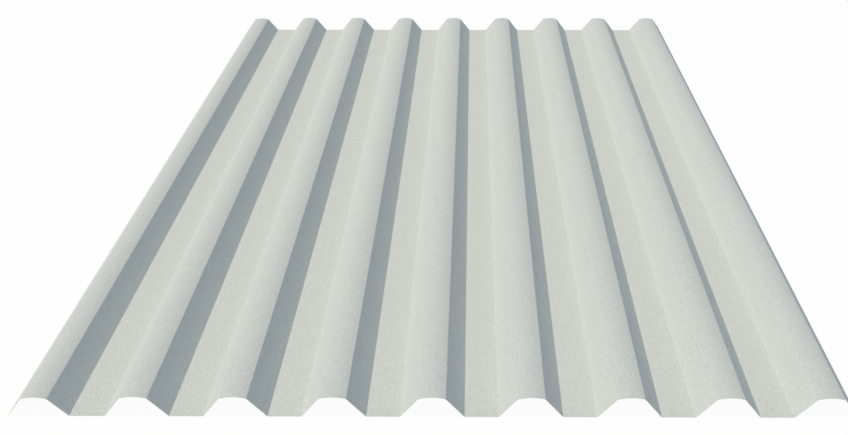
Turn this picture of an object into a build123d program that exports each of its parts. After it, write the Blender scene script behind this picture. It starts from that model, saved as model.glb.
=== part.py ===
"""Trapezoidal roofing and cladding sheet, cold rolled as one piece from pre-painted steel strip.

The sheet lies as it would on a level floor: the flat pans are down, the arched crowns of the
ribs are up. X runs across the ribs, Y runs along them and Z is up. The origin is on the floor,
under the middle of the sheet. All sizes are in millimetres.
"""

from build123d import *

import os
from math import atan2, sin, tan

# Rolled profile. Widths and heights are those of the sheet's underside line, corner to corner.
rib_pitch = 112.5
rib_count = 9
rib_height = 30.0  # floor to the top of a crown
crown_width = 31.0  # between the two bends of a crown
crown_rise = 2.4  # arch of a crown above its two bends
pan_width = 39.2  # flat between the ribs

# Strip
sheet_thickness = 0.5
bend_radius = 1.0  # inside of every bend
sheet_length = 1250.0

# Side lap: the first rib is rolled smaller, so that the last rib of the next sheet seats over it.
# The last rib's outer flank stops short of the pans, which keeps its edge out of the water there.
lap_clearance = 0.9
overlap_edge_lift = 8.8  # pans' underside to the edge of the last rib

# Worked out from the sizes above
flank_run = (rib_pitch - crown_width - pan_width) / 2
flank_rise = rib_height - sheet_thickness - crown_rise
flank_angle = atan2(flank_rise, flank_run)
pan_bend_radius = bend_radius + sheet_thickness
lap_inset = sheet_thickness + lap_clearance
foot_half = crown_width / 2 + flank_run
lap_foot_half = foot_half - lap_inset / sin(flank_angle)
overlap_edge_half = foot_half - overlap_edge_lift / tan(flank_angle)
cover_width = (rib_count - 1) * rib_pitch
first_rib_x = (lap_foot_half - cover_width - overlap_edge_half) / 2


def rib_corners(rib: int):
    """Underside corners of one rib: left foot, left crown bend, right crown bend, right foot."""
    inset = lap_inset if rib == 0 else 0.0
    lift = overlap_edge_lift if rib == rib_count - 1 else 0.0
    centre = first_rib_x + rib * rib_pitch
    foot = foot_half - inset / sin(flank_angle)
    crown = crown_width / 2 - inset * tan(flank_angle / 2)
    top = flank_rise - inset
    right_foot = (centre + foot - lift / tan(flank_angle), lift)
    return (centre - foot, 0), (centre - crown, top), (centre + crown, top), right_foot


ribs = [rib_corners(rib) for rib in range(rib_count)]

with BuildPart() as profiled_sheet:
    with BuildSketch(Plane.XZ) as section:
        with BuildLine() as strip:
            for rib, (left_foot, left_bend, right_bend, right_foot) in enumerate(ribs):
                Line(left_foot, left_bend)
                SagittaArc(left_bend, right_bend, crown_rise)
                Line(right_bend, right_foot)
                if rib < rib_count - 1:
                    next_left_foot = ribs[rib + 1][0]
                    Line(right_foot, next_left_foot)
            # The underside is the outside of the bends at the pans and the inside of those at
            # the crowns. The sheet's two side edges are the first and last points, left sharp.
            corners = strip.vertices().sort_by(Axis.X)[1:-1]
            fillet(corners.filter_by(lambda corner: corner.Y < flank_rise / 2), pan_bend_radius)
            corners = strip.vertices()
            fillet(corners.filter_by(lambda corner: corner.Y > flank_rise / 2), bend_radius)
            offset(amount=sheet_thickness, side=Side.LEFT)
        make_face()
    extrude(amount=sheet_length / 2, both=True)

profiled_sheet.part.label = "profiled_sheet"

os.makedirs("parts", exist_ok=True)
export_step(profiled_sheet.part, "parts/profiled_sheet.step")
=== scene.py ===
"""Looks of a trapezoidal steel sheet, painted off-white, lying on a pale studio floor.

Metres throughout, in the part's own frame: X across the ribs, Y along them, Z up.
"""

import math

import bpy
import numpy as np
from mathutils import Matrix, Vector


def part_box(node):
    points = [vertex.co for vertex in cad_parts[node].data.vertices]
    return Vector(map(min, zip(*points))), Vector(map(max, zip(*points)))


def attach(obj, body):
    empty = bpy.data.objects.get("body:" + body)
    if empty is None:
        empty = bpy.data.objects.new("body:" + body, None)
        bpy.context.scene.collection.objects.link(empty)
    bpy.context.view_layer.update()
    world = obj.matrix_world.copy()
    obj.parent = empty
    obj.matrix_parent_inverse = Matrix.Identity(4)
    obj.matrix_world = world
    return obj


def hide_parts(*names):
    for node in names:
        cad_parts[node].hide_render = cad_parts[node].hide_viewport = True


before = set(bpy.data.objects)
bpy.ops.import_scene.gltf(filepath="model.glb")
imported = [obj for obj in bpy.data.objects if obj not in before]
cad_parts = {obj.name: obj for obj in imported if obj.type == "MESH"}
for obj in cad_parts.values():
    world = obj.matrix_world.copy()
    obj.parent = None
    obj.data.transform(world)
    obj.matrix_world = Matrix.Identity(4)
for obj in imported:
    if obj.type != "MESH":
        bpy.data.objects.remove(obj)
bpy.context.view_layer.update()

# The strip's line: thin steel strip, galvanised and painted in the coil, that rolls bend into nine
# ribs. It turns only at its bends, so its underside is straight and round stretches end to end.
# The first rib is rolled smaller, to go under the last rib of the next sheet.
MM = 0.001
RIB_PITCH = 112.5 * MM
RIB_COUNT = 9
CROWN_WIDTH = 31.0 * MM  # between the two bends of a crown
CROWN_RISE = 2.4 * MM  # arch of a crown above its bends
PAN_WIDTH = 39.2 * MM
STRIP_THICKNESS = 0.5 * MM
INSIDE_BEND = 1.0 * MM
LAP_CLEARANCE = 0.9 * MM
OVERLAP_EDGE_LIFT = 8.8 * MM  # from the pans' underside to the edge of the last rib
BEND_STEPS = 6
CROWN_STEPS = 20
FLAT_STEPS = 3

sheet_low, sheet_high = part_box("profiled_sheet")
flank_run = (RIB_PITCH - CROWN_WIDTH - PAN_WIDTH) / 2
flank_rise = sheet_high.z - sheet_low.z - STRIP_THICKNESS - CROWN_RISE
flank_slope = math.atan2(flank_rise, flank_run)
lap_inset = STRIP_THICKNESS + LAP_CLEARANCE
pan_bend = INSIDE_BEND + STRIP_THICKNESS  # the underside is the outside of this bend
foot_cut = pan_bend * math.tan(flank_slope / 2)  # what the bend takes off the flank and the pan


def rib_stretches(inset):
    """A rib's half width at its foot, and its underside stretches as (length, turn, steps).

    The foot bend turns the strip up by the flank's slope, over an arc of radius times slope. The
    crown's arc has the radius (half width squared + rise squared) / (2 * rise). The crown's bend
    touches the flank and that arc: its centre lies one bend radius inside the flank, and the
    arc's radius less the bend's from the arc's centre, which a quadratic along the flank gives.
    The inset moves the flanks and the crown inwards, all alike.
    """
    half_crown = CROWN_WIDTH / 2 - inset * math.tan(flank_slope / 2)
    corner = np.array([-half_crown, flank_rise - inset])
    arc_radius = (half_crown**2 + CROWN_RISE**2) / (2 * CROWN_RISE)
    arc_centre = np.array([0, corner[1] + CROWN_RISE - arc_radius])
    up_flank = np.array([math.cos(flank_slope), math.sin(flank_slope)])
    inwards = np.array([up_flank[1], -up_flank[0]])
    beside_corner = corner + INSIDE_BEND * inwards - arc_centre
    along = beside_corner @ up_flank
    reach = (arc_radius - INSIDE_BEND) ** 2 - beside_corner @ beside_corner
    bend_cut = along - math.sqrt(along**2 + reach)
    bend_centre = beside_corner - bend_cut * up_flank
    arc_slope = math.atan2(-bend_centre[0], bend_centre[1])
    foot = (pan_bend * flank_slope, flank_slope, BEND_STEPS)
    flank = (corner[1] / math.sin(flank_slope) - foot_cut - bend_cut, 0, FLAT_STEPS)
    bend = (INSIDE_BEND * (flank_slope - arc_slope), arc_slope - flank_slope, BEND_STEPS)
    crown = (2 * arc_radius * arc_slope, -2 * arc_slope, CROWN_STEPS)
    foot_half = half_crown + corner[1] / math.tan(flank_slope)
    return foot_half, [foot, flank, bend, crown, bend, flank, foot]


def strip_line(stretches, start, heading):
    """Points, headings, distances and curl along a strip that turns evenly within each stretch.

    A stretch is cut into equal steps. Each step is the chord of a small arc: its length is the
    step times sin(half turn) / (half turn), and it points midway between the headings at its two
    ends. The points are the running sums of these chords, and the distance that of the steps.
    The curl is turn over length, the smaller one of the two steps at a point, times the tightest
    bend's radius: 1 inside such a bend and 0 on the flat.
    """
    length, turn, steps = np.array(stretches).T
    count = steps.astype(int)
    step_length = np.repeat(length / steps, count)
    step_turn = np.repeat(turn / steps, count)
    after = heading + np.cumsum(step_turn)
    midway = after - step_turn / 2
    chord = step_length * np.sinc(step_turn / (2 * np.pi))
    x = start[0] + np.concatenate([[0], np.cumsum(chord * np.cos(midway))])
    z = start[1] + np.concatenate([[0], np.cumsum(chord * np.sin(midway))])
    distance = np.concatenate([[0], np.cumsum(step_length)])
    step_curl = np.concatenate([[0], np.abs(step_turn) / step_length, [0]]) * INSIDE_BEND
    curl = np.minimum(step_curl[:-1], step_curl[1:])
    return np.stack([x, z], 1), np.concatenate([[heading], after]), distance, curl


small_half, small_rib = rib_stretches(lap_inset)
full_half, full_rib = rib_stretches(0)
underlap_length = small_rib[1][0] + foot_cut  # the strip is slit at this foot: it has no bend
underlap_flank = (underlap_length, 0, FLAT_STEPS)
first_pan = (RIB_PITCH - small_half - full_half - 2 * foot_cut, 0, FLAT_STEPS)
next_pan = (PAN_WIDTH - 2 * foot_cut, 0, FLAT_STEPS)
overlap_length = full_rib[1][0] + foot_cut - OVERLAP_EDGE_LIFT / math.sin(flank_slope)
overlap_flank = (overlap_length, 0, FLAT_STEPS)
section = [underlap_flank] + small_rib[2:] + [first_pan]
section += (full_rib + [next_pan]) * (RIB_COUNT - 2)
section += full_rib[:-2] + [overlap_flank]
overlap_half = full_half - OVERLAP_EDGE_LIFT / math.tan(flank_slope)
line_width = (RIB_COUNT - 1) * RIB_PITCH + small_half + overlap_half
line_start = ((sheet_low.x + sheet_high.x - line_width) / 2, sheet_low.z)
underside, heading, across_coil, curl = strip_line(section, line_start, flank_slope)

# The whole sheet: that line carried along its length and sheared square at both ends. One closed
# skin has the painted top, the back and the four cut edges, each with its own finish.
LENGTH_STEPS = 10
TOP, BACK, CUT = 0, 1, 2  # material slots


def rolled_sheet(line, heading, lengthwise):
    """The strip's skin: the underside line and its parallel one strip thickness above it.

    The grid's two parameters are the step along the section and the place along the length. The
    upper point is the lower one plus the thickness times (-sin heading, cos heading), which is
    also the paint's normal. Returns points, quads, a slot for each quad and a normal for each
    quad's corner.
    """
    across, rows = len(line), len(lengthwise)
    outwards = np.stack([-np.sin(heading), np.cos(heading)], 1)
    forwards = np.stack([np.cos(heading), np.sin(heading)], 1)
    layers = np.stack([line, line + STRIP_THICKNESS * outwards])
    points = np.empty((2, rows, across, 3))
    points[..., 0] = layers[:, None, :, 0]
    points[..., 1] = lengthwise[None, :, None]
    points[..., 2] = layers[:, None, :, 1]
    index = np.arange(points[..., 0].size).reshape(2, rows, across)

    def quads(a, b, c, d):
        """Four-sided faces from four equal blocks of the grid, one block for each corner."""
        return np.stack([a, b, c, d], -1).reshape(-1, 4)

    under, over = index
    parts = [
        (TOP, quads(over[:-1, :-1], over[:-1, 1:], over[1:, 1:], over[1:, :-1])),
        (BACK, quads(under[:-1, :-1], under[1:, :-1], under[1:, 1:], under[:-1, 1:])),
        (CUT, quads(under[0, :-1], under[0, 1:], over[0, 1:], over[0, :-1])),
        (CUT, quads(under[-1, 1:], under[-1, :-1], over[-1, :-1], over[-1, 1:])),
        (CUT, quads(under[1:, 0], under[:-1, 0], over[:-1, 0], over[1:, 0])),
        (CUT, quads(under[:-1, -1], under[1:, -1], over[1:, -1], over[:-1, -1])),
    ]
    section_normal = np.insert(outwards, 1, 0, axis=1)
    section_forward = np.insert(forwards, 1, 0, axis=1)
    column = np.tile(np.arange(across), 2 * rows)
    corner_normals = [
        section_normal[column[parts[0][1]]],
        -section_normal[column[parts[1][1]]],
        np.broadcast_to([0.0, -1.0, 0.0], parts[2][1].shape + (3,)),
        np.broadcast_to([0.0, 1.0, 0.0], parts[3][1].shape + (3,)),
        np.broadcast_to(-section_forward[0], parts[4][1].shape + (3,)),
        np.broadcast_to(section_forward[-1], parts[5][1].shape + (3,)),
    ]
    faces = np.concatenate([quad for _, quad in parts])
    slots = np.concatenate([np.full(len(quad), slot) for slot, quad in parts])
    normals = np.concatenate(corner_normals).reshape(-1, 3)
    return points.reshape(-1, 3), faces, slots, normals


lengthwise = np.linspace(sheet_low.y, sheet_high.y, LENGTH_STEPS + 1)
points, faces, slots, normals = rolled_sheet(underside, heading, lengthwise)
sheet_mesh = bpy.data.meshes.new("rolled_sheet")
sheet_mesh.from_pydata(points.tolist(), [], faces.tolist())
sheet_mesh.polygons.foreach_set("material_index", slots.astype(np.int32))
sheet_mesh.polygons.foreach_set("use_smooth", np.ones(len(faces), dtype=bool))
sheet_mesh.normals_split_custom_set(normals)

# Where each point was on the flat coil: metres across it, along it and up through its thickness.
on_coil = np.empty((2, len(lengthwise), len(underside), 3), dtype=np.float32)
on_coil[..., 0] = across_coil
on_coil[..., 1] = lengthwise[:, None]
on_coil[..., 2] = np.array([0, STRIP_THICKNESS])[:, None, None]
coil_layer = sheet_mesh.attributes.new("on_coil", "FLOAT_VECTOR", "POINT")
coil_layer.data.foreach_set("vector", on_coil.ravel())
curl_layer = sheet_mesh.attributes.new("curl", "FLOAT", "POINT")
curl_layer.data.foreach_set("value", np.tile(curl, 2 * len(lengthwise)).astype(np.float32))
sheet = bpy.data.objects.new("rolled_sheet", sheet_mesh)
bpy.context.scene.collection.objects.link(sheet)


def linear(colour):
    """An sRGB hex colour as linear RGBA: c / 12.92 near black, else ((c + 0.055) / 1.055)^2.4."""
    srgb = [int(colour[i : i + 2], 16) / 255 for i in (1, 3, 5)]
    return [c / 12.92 if c <= 0.04045 else ((c + 0.055) / 1.055) ** 2.4 for c in srgb] + [1.0]


def add(tree, kind, links=(), **settings):
    """Adds a node: settings are its properties, and links gives sockets a value or an output."""
    node = tree.nodes.new(kind)
    for name, value in settings.items():
        setattr(node, name, value)
    for socket, value in dict(links).items():
        if isinstance(value, bpy.types.NodeSocket):
            tree.links.new(value, node.inputs[socket])
        else:
            node.inputs[socket].default_value = value
    return node


def empty_material(name):
    """A material of that name with no nodes in it yet."""
    material = bpy.data.materials.new(name)
    material.use_nodes = True
    material.node_tree.nodes.clear()
    return material


# The face: matt textured off-white polyester, roller coated on the flat coil and baked. It gives
# the eye a soft, nearly shineless surface: fine grain, wrinkles and faint streaks, all drawn out
# along the coil by the coating roller, and a little sheen where the rolls burnished the bends.
GRAIN = 1.1 * MM  # the real grain is about 0.3 mm, drawn coarser so that it shows
TINT_PATCH = 1.0 * MM  # drawn coarser as well
DRAWN_OUT = 2.0  # a grain's length over its width
STREAK_WIDTH = 7.0 * MM
STREAK_LENGTH = 900 * MM
STREAK_SHARE = 0.03
WRINKLE = 1.6 * MM  # wrinkles of the baked film, really 0.3 mm across too
WRINKLE_DEPTH = 0.4 * MM  # drawn as much deeper as they are coarser
WRINKLE_RELIEF = 0.5  # how much of that depth tilts the surface
MATT, BURNISHED = 0.85, 0.7  # roughness

paint = empty_material("matt_polyester_coil_paint")
tree = paint.node_tree
coil = add(tree, "ShaderNodeAttribute", attribute_name="on_coil").outputs["Vector"]
curl_here = add(tree, "ShaderNodeAttribute", attribute_name="curl").outputs["Fac"]
drawn_out = add(tree, "ShaderNodeVectorMath", {
    0: coil, 1: (1, 1 / DRAWN_OUT, 1)}, operation="MULTIPLY").outputs["Vector"]
grain = add(tree, "ShaderNodeTexNoise", {
    "Vector": drawn_out, "Scale": 1 / GRAIN, "Detail": 0.0})
along_coil = add(tree, "ShaderNodeVectorMath", {
    0: coil, 1: (1 / STREAK_WIDTH, 1 / STREAK_LENGTH, 0)}, operation="MULTIPLY")
streaks = add(tree, "ShaderNodeTexNoise", {
    "Vector": along_coil.outputs["Vector"], "Scale": 1.0, "Detail": 3.0, "Roughness": 0.6})
lightness = add(tree, "ShaderNodeMix", {
    "Factor": STREAK_SHARE, "A": grain.outputs["Fac"], "B": streaks.outputs["Fac"]})
tone = add(tree, "ShaderNodeMix", {
    "Factor": lightness.outputs["Result"], "A": linear("#CFD3CF"), "B": linear("#EAEFED")},
    data_type="RGBA")
tint = add(tree, "ShaderNodeTexNoise", {
    "Vector": drawn_out, "Scale": 1 / TINT_PATCH, "Detail": 1.0})
warm = add(tree, "ShaderNodeMix", {
    "Factor": tint.outputs["Fac"], "A": tone.outputs["Result"], "B": linear("#FFFDF2")},
    data_type="RGBA", blend_type="MULTIPLY")
roughness = add(tree, "ShaderNodeMapRange", {
    "Value": curl_here, "To Min": MATT, "To Max": BURNISHED})
wrinkles = add(tree, "ShaderNodeTexNoise", {
    "Vector": drawn_out, "Scale": 1 / WRINKLE, "Detail": 0.0})
texture = add(tree, "ShaderNodeBump", {
    "Height": wrinkles.outputs["Fac"], "Strength": WRINKLE_RELIEF, "Distance": WRINKLE_DEPTH})
shader = add(tree, "ShaderNodeBsdfPrincipled", {
    "Base Color": warm.outputs["Result"], "Roughness": roughness.outputs["Result"], "IOR": 1.5,
    "Specular IOR Level": 0.3, "Normal": texture.outputs["Normal"]})
add(tree, "ShaderNodeOutputMaterial", {"Surface": shader.outputs["BSDF"]})

# The back: the thin grey epoxy service coat on the reverse of the coil. It gives the eye a plain
# grey with a mottle, where the thin film shows the zinc's bloom, and streaks along the coil.
MOTTLE = 9.0 * MM
BACK_STREAK_WIDTH = 4.0 * MM
BACK_STREAK_SHARE = 0.4
BACK_TEXTURE_DEPTH = 0.02 * MM
BACK_TEXTURE_RELIEF = 0.4
THIN_FILM, THICK_FILM = 0.55, 0.4  # roughness

back_coat = empty_material("grey_epoxy_backing_coat")
tree = back_coat.node_tree
coil = add(tree, "ShaderNodeAttribute", attribute_name="on_coil").outputs["Vector"]
curl_here = add(tree, "ShaderNodeAttribute", attribute_name="curl").outputs["Fac"]
mottle = add(tree, "ShaderNodeTexNoise", {
    "Vector": coil, "Scale": 1 / MOTTLE, "Detail": 4.0, "Roughness": 0.65})
along_coil = add(tree, "ShaderNodeVectorMath", {
    0: coil, 1: (1 / BACK_STREAK_WIDTH, 1 / STREAK_LENGTH, 0)}, operation="MULTIPLY")
streaks = add(tree, "ShaderNodeTexNoise", {
    "Vector": along_coil.outputs["Vector"], "Scale": 1.0, "Detail": 3.0, "Roughness": 0.6})
film = add(tree, "ShaderNodeMix", {
    "Factor": BACK_STREAK_SHARE, "A": mottle.outputs["Fac"], "B": streaks.outputs["Fac"]})
tone = add(tree, "ShaderNodeMix", {
    "Factor": film.outputs["Result"], "A": linear("#A3A8A7"), "B": linear("#C6CAC8")},
    data_type="RGBA")
roughness = add(tree, "ShaderNodeMapRange", {
    "Value": film.outputs["Result"], "To Min": THIN_FILM, "To Max": THICK_FILM})
texture = add(tree, "ShaderNodeBump", {
    "Height": film.outputs["Result"], "Strength": BACK_TEXTURE_RELIEF,
    "Distance": BACK_TEXTURE_DEPTH})
shader = add(tree, "ShaderNodeBsdfPrincipled", {
    "Base Color": tone.outputs["Result"], "Roughness": roughness.outputs["Result"], "IOR": 1.5,
    "Normal": texture.outputs["Normal"]})
add(tree, "ShaderNodeOutputMaterial", {"Surface": shader.outputs["BSDF"]})

# The cut edges: sheared galvanised steel between its two paint films. They give the eye a bright
# band where the blade slid down the steel, a duller torn band below it, and shear marks across,
# all pale and faintly yellow-green from the passivated zinc that the blade smears over them.
SHEAR_MARK = 0.5 * MM  # the real marks are about 0.1 mm apart, drawn coarser so that they show
MARK_LENGTH = 10 * STRIP_THICKNESS  # so that a mark runs right down the edge
SHEAR_DEPTH = 0.02 * MM
SHEAR_RELIEF = 0.5
PAINT_FILM = 0.025 * MM
SLID_SHARE = 0.4  # of the thickness, from the top
TEAR_WANDER = 0.05 * MM  # each way from the line where the slid band turns to the torn one
SMOOTH_CUT, ROUGH_CUT = 0.35, 0.6  # roughness

cut_steel = empty_material("sheared_galvanised_steel")
tree = cut_steel.node_tree
coil = add(tree, "ShaderNodeAttribute", attribute_name="on_coil").outputs["Vector"]
depth = add(tree, "ShaderNodeSeparateXYZ", {"Vector": coil}).outputs["Z"]
marks_place = add(tree, "ShaderNodeVectorMath", {
    0: coil, 1: (1 / SHEAR_MARK, 1 / SHEAR_MARK, 1 / MARK_LENGTH)}, operation="MULTIPLY")
marks = add(tree, "ShaderNodeTexNoise", {
    "Vector": marks_place.outputs["Vector"], "Scale": 1.0, "Detail": 3.0, "Roughness": 0.7})
tear_line = STRIP_THICKNESS * (1 - SLID_SHARE)
slid = add(tree, "ShaderNodeMapRange", {
    "Value": depth, "From Min": tear_line - TEAR_WANDER, "From Max": tear_line + TEAR_WANDER})
bare = add(tree, "ShaderNodeMix", {
    "Factor": slid.outputs["Result"], "A": linear("#CBD1B4"), "B": linear("#E6EBD2")},
    data_type="RGBA")
marked = add(tree, "ShaderNodeMix", {
    "Factor": marks.outputs["Fac"], "A": linear("#D6DCC2"), "B": bare.outputs["Result"]},
    data_type="RGBA")
film_line = STRIP_THICKNESS - PAINT_FILM
in_film = add(tree, "ShaderNodeMath", {0: depth, 1: film_line}, operation="GREATER_THAN")
edge_tone = add(tree, "ShaderNodeMix", {
    "Factor": in_film.outputs["Value"], "A": marked.outputs["Result"], "B": linear("#D8DAD0")},
    data_type="RGBA")
steel_share = add(tree, "ShaderNodeMath", {
    0: 1.0, 1: in_film.outputs["Value"]}, operation="SUBTRACT")
roughness = add(tree, "ShaderNodeMapRange", {
    "Value": marks.outputs["Fac"], "To Min": SMOOTH_CUT, "To Max": ROUGH_CUT})
texture = add(tree, "ShaderNodeBump", {
    "Height": marks.outputs["Fac"], "Strength": SHEAR_RELIEF, "Distance": SHEAR_DEPTH})
shader = add(tree, "ShaderNodeBsdfPrincipled", {
    "Base Color": edge_tone.outputs["Result"], "Roughness": roughness.outputs["Result"],
    "Metallic": steel_share.outputs["Value"], "Normal": texture.outputs["Normal"]})
add(tree, "ShaderNodeOutputMaterial", {"Surface": shader.outputs["BSDF"]})

for finish in (paint, back_coat, cut_steel):
    sheet_mesh.materials.append(finish)
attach(sheet, "root")
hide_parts("profiled_sheet")

# The floor: a plain white studio floor that runs out of sight on all sides. It looks evenly lit
# and nearly as white as the wall behind, and keeps a faint shadow under the sheet.
FLOOR_SIZE = 12.0
FLOOR_GAP = 0.1 * MM
EVEN_WHITE = 0.96  # share of even white in what the camera sees of the floor

floor_z = sheet_low.z - FLOOR_GAP
floor_corners = np.array([(-1, -1), (1, -1), (1, 1), (-1, 1)]) * FLOOR_SIZE / 2
floor_mesh = bpy.data.meshes.new("studio_floor")
floor_mesh.from_pydata([(x, y, floor_z) for x, y in floor_corners.tolist()], [], [(0, 1, 2, 3)])
floor = bpy.data.objects.new("studio_floor", floor_mesh)
bpy.context.scene.collection.objects.link(floor)
white_floor = empty_material("white_floor")
tree = white_floor.node_tree
ray = add(tree, "ShaderNodeLightPath")
seen = add(tree, "ShaderNodeMath", {
    0: ray.outputs["Is Camera Ray"], 1: ray.outputs["Is Glossy Ray"]}, operation="MAXIMUM")
share = add(tree, "ShaderNodeMath", {
    0: seen.outputs["Value"], 1: EVEN_WHITE}, operation="MULTIPLY")
matt = add(tree, "ShaderNodeBsdfDiffuse", {"Color": linear("#F6F6F6")})
even = add(tree, "ShaderNodeEmission", {"Color": linear("#FFFFFF"), "Strength": 1.0})
both = add(tree, "ShaderNodeMixShader", {
    0: share.outputs["Value"], 1: matt.outputs["BSDF"], 2: even.outputs["Emission"]})
add(tree, "ShaderNodeOutputMaterial", {"Surface": both.outputs["Shader"]})
floor_mesh.materials.append(white_floor)

# The light: one warm lamp, high on the left and far enough off to light all ribs alike, so that
# the flanks on their right side get next to none of it. The rest of the studio glows softly,
# cool near the floor and white overhead.
KEY_TILT = 34  # degrees from straight down, towards the left
KEY_WIDTH = 10  # degrees across, for shadows with soft edges
KEY_STRENGTH = 1.92
FILL_STRENGTH = 0.426
WHITE_GATHERS = 2.0  # the white's share of the glow is the height to this power

world = bpy.data.worlds.new("studio")
bpy.context.scene.world = world
world.use_nodes = True
world.cycles.sampling_method = "NONE"  # a glow this soft needs no aimed rays: less speckle
tree = world.node_tree
tree.nodes.clear()
ray = add(tree, "ShaderNodeLightPath")
seen = add(tree, "ShaderNodeMath", {
    0: ray.outputs["Is Camera Ray"], 1: ray.outputs["Is Glossy Ray"]}, operation="MAXIMUM")
direction = add(tree, "ShaderNodeTexCoord").outputs["Generated"]
height = add(tree, "ShaderNodeSeparateXYZ", {"Vector": direction}).outputs["Z"]
above = add(tree, "ShaderNodeMath", {0: height, 1: 0.0}, operation="MAXIMUM")
overhead = add(tree, "ShaderNodeMath", {
    0: above.outputs["Value"], 1: WHITE_GATHERS}, operation="POWER")
glow = add(tree, "ShaderNodeMix", {
    "Factor": overhead.outputs["Value"], "A": linear("#87BDF8"), "B": linear("#FFFAFA")},
    data_type="RGBA")
fill = add(tree, "ShaderNodeBackground", {
    "Color": glow.outputs["Result"], "Strength": FILL_STRENGTH})
white = add(tree, "ShaderNodeBackground", {"Color": linear("#FFFFFF"), "Strength": 1.0})
both = add(tree, "ShaderNodeMixShader", {
    0: seen.outputs["Value"], 1: fill.outputs["Background"], 2: white.outputs["Background"]})
add(tree, "ShaderNodeOutputWorld", {"Surface": both.outputs["Shader"]})

key_lamp = bpy.data.lights.new("key", "SUN")
key_lamp.energy = KEY_STRENGTH
key_lamp.color = linear("#FFF7E5")[:3]
key_lamp.angle = math.radians(KEY_WIDTH)
key = bpy.data.objects.new("key", key_lamp)
key.rotation_euler = (0, math.radians(-KEY_TILT), 0)
bpy.context.scene.collection.objects.link(key)

# The camera: in front of the sheet, a little right of its middle, looking down along the ribs.
# The photograph is a part of a wider picture, so its middle lies beside the lens's own centre.
FOCAL_PX = 882.38
CENTRE_PX = (470.25, 188.53)  # the lens's centre, in pixels of the photograph from its top left
IMAGE_PX = (848, 435)
LOOK_DOWN = 30.51  # degrees
LOOK_LEFT = 0.2063  # degrees
CAMERA_PLACE = (48.55 * MM, -1360.05 * MM, 735.7 * MM)
SENSOR_WIDTH = 36.0  # in the lens's own millimetres

camera_lens = bpy.data.cameras.new("camera")
camera_lens.sensor_width = SENSOR_WIDTH
camera_lens.lens = FOCAL_PX / IMAGE_PX[0] * SENSOR_WIDTH
camera_lens.shift_x = (IMAGE_PX[0] / 2 - CENTRE_PX[0]) / IMAGE_PX[0]
camera_lens.shift_y = (CENTRE_PX[1] - IMAGE_PX[1] / 2) / IMAGE_PX[0]
camera = bpy.data.objects.new("camera", camera_lens)
camera.location = CAMERA_PLACE
camera.rotation_euler = (math.radians(90 - LOOK_DOWN), 0, math.radians(LOOK_LEFT))
bpy.context.scene.collection.objects.link(camera)
bpy.context.scene.camera = camera

bpy.context.scene.view_settings.view_transform = "Standard"
